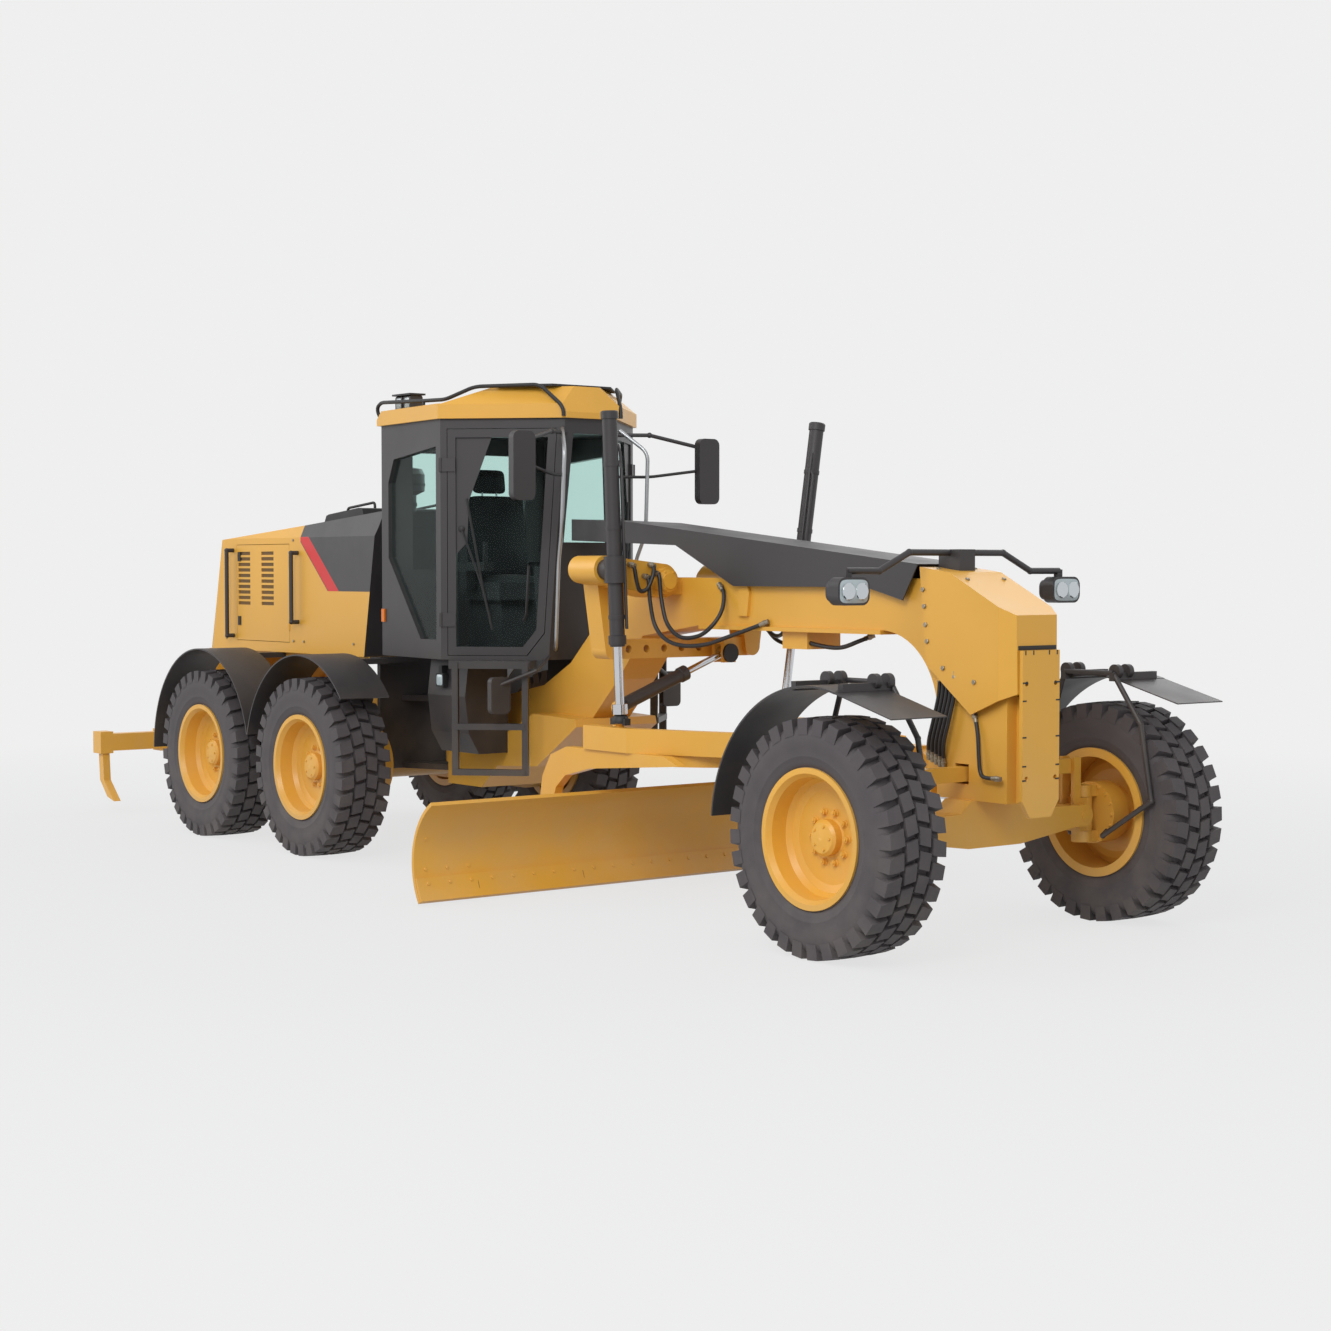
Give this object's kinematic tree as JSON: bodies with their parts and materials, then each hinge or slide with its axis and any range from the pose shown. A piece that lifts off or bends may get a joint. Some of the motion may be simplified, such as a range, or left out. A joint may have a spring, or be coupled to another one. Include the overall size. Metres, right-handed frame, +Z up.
{
  "type": "motor_grader",
  "caption": "Articulated motor grader with leaning front wheels, hexagonal cab, drawbar, circle and curved moldboard, tandem drive and a rear ripper.",
  "frame": {"origin": "On the ground, under the middle of the machine's overall length and width", "axes": "+X forward to the front wheels, +Y to the machine's left, +Z up"},
  "size_m": [9.75, 3.66, 3.215],
  "materials": {
    "yellow_paint": "semi-gloss orange-yellow machine paint",
    "dark_paint": "satin dark grey paint",
    "cab_trim": "matte dark trim and upholstery",
    "lamp_lens": "dark housings with clear lenses",
    "window_glass": "green-tinted clear glass",
    "rod_chrome": "polished hard chrome",
    "tyre_rubber": "dark rubber"
  },
  "bodies": {
    "rear_frame": {"rear_frame": "yellow_paint", "engine_block": "dark_paint", "hood": "yellow_paint", "hood_front": "dark_paint", "radiator_guard": "dark_paint", "tandem_cases": "yellow_paint", "rear_fenders": "dark_paint", "grab_rails": "dark_paint"},
    "engine_door_right": {"engine_door_right": "yellow_paint"},
    "engine_door_left": {"engine_door_left": "yellow_paint"},
    "front_frame": {"front_frame": "yellow_paint", "front_axle": "yellow_paint", "cab_shell": "dark_paint", "cab_roof": "yellow_paint", "cab_glass": "window_glass", "cab_interior": "cab_trim", "steps_and_tanks": "dark_paint", "mirrors": "dark_paint", "frame_cover": "dark_paint", "nose_cover": "yellow_paint", "headlamps": "lamp_lens", "lift_arms": "yellow_paint"},
    "door_right": {"door_right": "dark_paint", "door_glass_right": "window_glass"},
    "door_left": {"door_left": "dark_paint", "door_glass_left": "window_glass"},
    "lean_right": {"lean_yoke_right": "yellow_paint"},
    "lean_left": {"lean_yoke_left": "yellow_paint"},
    "lean_bar": {"lean_bar": "yellow_paint"},
    "knuckle_right": {"knuckle_right": "yellow_paint", "front_fender_right": "dark_paint"},
    "knuckle_left": {"knuckle_left": "yellow_paint", "front_fender_left": "dark_paint"},
    "drawbar_ball": {"drawbar_ball": "rod_chrome"},
    "drawbar": {"drawbar": "yellow_paint"},
    "circle": {"circle": "yellow_paint"},
    "blade_carriage": {"blade_carriage": "yellow_paint"},
    "moldboard": {"moldboard": "yellow_paint"},
    "lift_barrel_right": {"lift_barrel_right": "dark_paint"},
    "lift_barrel_left": {"lift_barrel_left": "dark_paint"},
    "lift_rod_right": {"lift_rod_right": "rod_chrome"},
    "lift_rod_left": {"lift_rod_left": "rod_chrome"},
    "shift_rod": {"shift_rod": "rod_chrome"},
    "shift_barrel": {"shift_barrel": "dark_paint"},
    "ripper": {"ripper": "yellow_paint"},
    "ripper_barrel": {"ripper_barrel": "dark_paint"},
    "ripper_rod": {"ripper_rod": "rod_chrome"},
    "wheel_front_right": {"tyre_front_right": "tyre_rubber", "rim_front_right": "yellow_paint"},
    "wheel_front_left": {"tyre_front_left": "tyre_rubber", "rim_front_left": "yellow_paint"},
    "wheel_mid_right": {"tyre_mid_right": "tyre_rubber", "rim_mid_right": "yellow_paint"},
    "wheel_mid_left": {"tyre_mid_left": "tyre_rubber", "rim_mid_left": "yellow_paint"},
    "wheel_rear_right": {"tyre_rear_right": "tyre_rubber", "rim_rear_right": "yellow_paint"},
    "wheel_rear_left": {"tyre_rear_left": "tyre_rubber", "rim_rear_left": "yellow_paint"}
  },
  "joints": [
    {"name": "articulation", "type": "hinge", "parent": "rear_frame", "child": "front_frame", "pos_m": [-0.9, 0, 0.825], "axis": [0, 0, 1], "range_deg": [-20, 20]},
    {"name": "lean_left", "type": "hinge", "parent": "front_frame", "child": "lean_left", "pos_m": [4.25, 0.72, 0.625], "axis": [1, 0, 0], "range_deg": [-18, 18]},
    {"name": "lean_right", "type": "hinge", "parent": "front_frame", "child": "lean_right", "pos_m": [4.25, -0.72, 0.625], "axis": [1, 0, 0], "range_deg": [-18, 18]},
    {"name": "lean_bar_slide", "type": "slide", "parent": "front_frame", "child": "lean_bar", "axis": [0, 1, 0], "range_m": [-0.09, 0.09]},
    {"name": "steer_left", "type": "hinge", "parent": "lean_left", "child": "knuckle_left", "pos_m": [4.25, 0.8, 0.625], "axis": [0, 0, 1], "range_deg": [-47.5, 47.5]},
    {"name": "steer_right", "type": "hinge", "parent": "lean_right", "child": "knuckle_right", "pos_m": [4.25, -0.8, 0.625], "axis": [0, 0, 1], "range_deg": [-47.5, 47.5]},
    {"name": "wheel_front_right_spin", "type": "hinge", "parent": "knuckle_right", "child": "wheel_front_right", "pos_m": [4.25, -1.07, 0.625], "axis": [0, 1, 0], "continuous": true},
    {"name": "wheel_front_left_spin", "type": "hinge", "parent": "knuckle_left", "child": "wheel_front_left", "pos_m": [4.25, 1.07, 0.625], "axis": [0, 1, 0], "continuous": true},
    {"name": "wheel_mid_right_spin", "type": "hinge", "parent": "rear_frame", "child": "wheel_mid_right", "pos_m": [-1.1115, -1.07, 0.625], "axis": [0, 1, 0], "continuous": true},
    {"name": "wheel_mid_left_spin", "type": "hinge", "parent": "rear_frame", "child": "wheel_mid_left", "pos_m": [-1.1115, 1.07, 0.625], "axis": [0, 1, 0], "continuous": true},
    {"name": "wheel_rear_right_spin", "type": "hinge", "parent": "rear_frame", "child": "wheel_rear_right", "pos_m": [-2.6345, -1.07, 0.625], "axis": [0, 1, 0], "continuous": true},
    {"name": "wheel_rear_left_spin", "type": "hinge", "parent": "rear_frame", "child": "wheel_rear_left", "pos_m": [-2.6345, 1.07, 0.625], "axis": [0, 1, 0], "continuous": true},
    {"name": "drawbar_shift", "type": "hinge", "parent": "front_frame", "child": "drawbar_ball", "pos_m": [3.95, 0, 0.8], "axis": [0, 0, 1], "range_deg": [-4, 5.6]},
    {"name": "drawbar_lift", "type": "hinge", "parent": "drawbar_ball", "child": "drawbar", "pos_m": [3.95, 0, 0.8], "axis": [0, 1, 0], "range_deg": [-16, 9.5]},
    {"name": "circle_turn", "type": "hinge", "parent": "drawbar", "child": "circle", "pos_m": [1.95, 0, 0.865], "axis": [0, 0, 1], "continuous": true},
    {"name": "blade_tip", "type": "hinge", "parent": "circle", "child": "blade_carriage", "pos_m": [1.19, 0, 0.33], "axis": [0, 1, 0], "range_deg": [-5, 40]},
    {"name": "blade_side_shift", "type": "slide", "parent": "blade_carriage", "child": "moldboard", "axis": [0, -1, 0], "range_m": [-0.95, 0.6]},
    {"name": "lift_swing_right", "type": "hinge", "parent": "front_frame", "child": "lift_barrel_right", "pos_m": [1.9, -0.74, 2], "axis": [1, 0, 0], "range_deg": [-12.7, 9.1]},
    {"name": "lift_stroke_right", "type": "slide", "parent": "lift_barrel_right", "child": "lift_rod_right", "axis": [0, -0.0434, 0.9991], "range_m": [-0.58, 0.345]},
    {"name": "lift_swing_left", "type": "hinge", "parent": "front_frame", "child": "lift_barrel_left", "pos_m": [1.9, 0.74, 2], "axis": [1, 0, 0], "range_deg": [-12.7, 9.1]},
    {"name": "lift_stroke_left", "type": "slide", "parent": "lift_barrel_left", "child": "lift_rod_left", "axis": [0, 0.1504, 0.9886], "range_m": [-0.58, 0.345]},
    {"name": "shift_swing", "type": "hinge", "parent": "front_frame", "child": "shift_rod", "pos_m": [1.7, 0.27, 1.47], "axis": [1, 0, 0], "range_deg": [-28, 46]},
    {"name": "shift_stroke", "type": "slide", "parent": "shift_rod", "child": "shift_barrel", "axis": [0, -0.9349, -0.355], "range_m": [-0.172, 0.24]},
    {"name": "ripper_lift", "type": "hinge", "parent": "rear_frame", "child": "ripper", "pos_m": [-3.873, 0, 0.8], "axis": [0, 1, 0], "range_deg": [-28, 25]},
    {"name": "ripper_swing", "type": "hinge", "parent": "rear_frame", "child": "ripper_barrel", "pos_m": [-3.873, 0, 1.225], "axis": [0, 1, 0], "range_deg": [-23.5, 21]},
    {"name": "ripper_stroke", "type": "slide", "parent": "ripper_barrel", "child": "ripper_rod", "axis": [-0.9189, 0, -0.3946], "range_m": [-0.18, 0.2]},
    {"name": "door_right", "type": "hinge", "parent": "front_frame", "child": "door_right", "pos_m": [0.03, -0.8, 2.18], "axis": [0, 0, -1], "range_deg": [0, 100]},
    {"name": "door_left", "type": "hinge", "parent": "front_frame", "child": "door_left", "pos_m": [0.03, 0.8, 2.18], "axis": [0, 0, 1], "range_deg": [0, 100]},
    {"name": "engine_door_right", "type": "hinge", "parent": "rear_frame", "child": "engine_door_right", "pos_m": [-2.44, -0.6, 1.82], "axis": [0, 0, 1], "range_deg": [0, 90]},
    {"name": "engine_door_left", "type": "hinge", "parent": "rear_frame", "child": "engine_door_left", "pos_m": [-2.44, 0.6, 1.82], "axis": [0, 0, -1], "range_deg": [0, 90]}
  ],
  "couplings": [
    {"joint": "lean_right", "follows": "lean_left", "ratio": 1},
    {"joint": "lean_bar_slide", "follows": "lean_left", "m_per_rad": -0.275},
    {"joint": "steer_right", "follows": "steer_left", "ratio": 1},
    {"joint": "lift_swing_right", "follows": "drawbar_shift", "ratio": -2.228},
    {"joint": "lift_stroke_right", "follows": "drawbar_lift", "m_per_rad": 2.05},
    {"joint": "lift_swing_left", "follows": "drawbar_shift", "ratio": -2.228},
    {"joint": "lift_stroke_left", "follows": "drawbar_lift", "m_per_rad": 2.05},
    {"joint": "shift_swing", "follows": "drawbar_lift", "ratio": -2.85},
    {"joint": "shift_stroke", "follows": "drawbar_shift", "m_per_rad": 2.43},
    {"joint": "ripper_swing", "follows": "ripper_lift", "ratio": 0.819},
    {"joint": "ripper_stroke", "follows": "ripper_lift", "m_per_rad": -0.391}
  ]
}
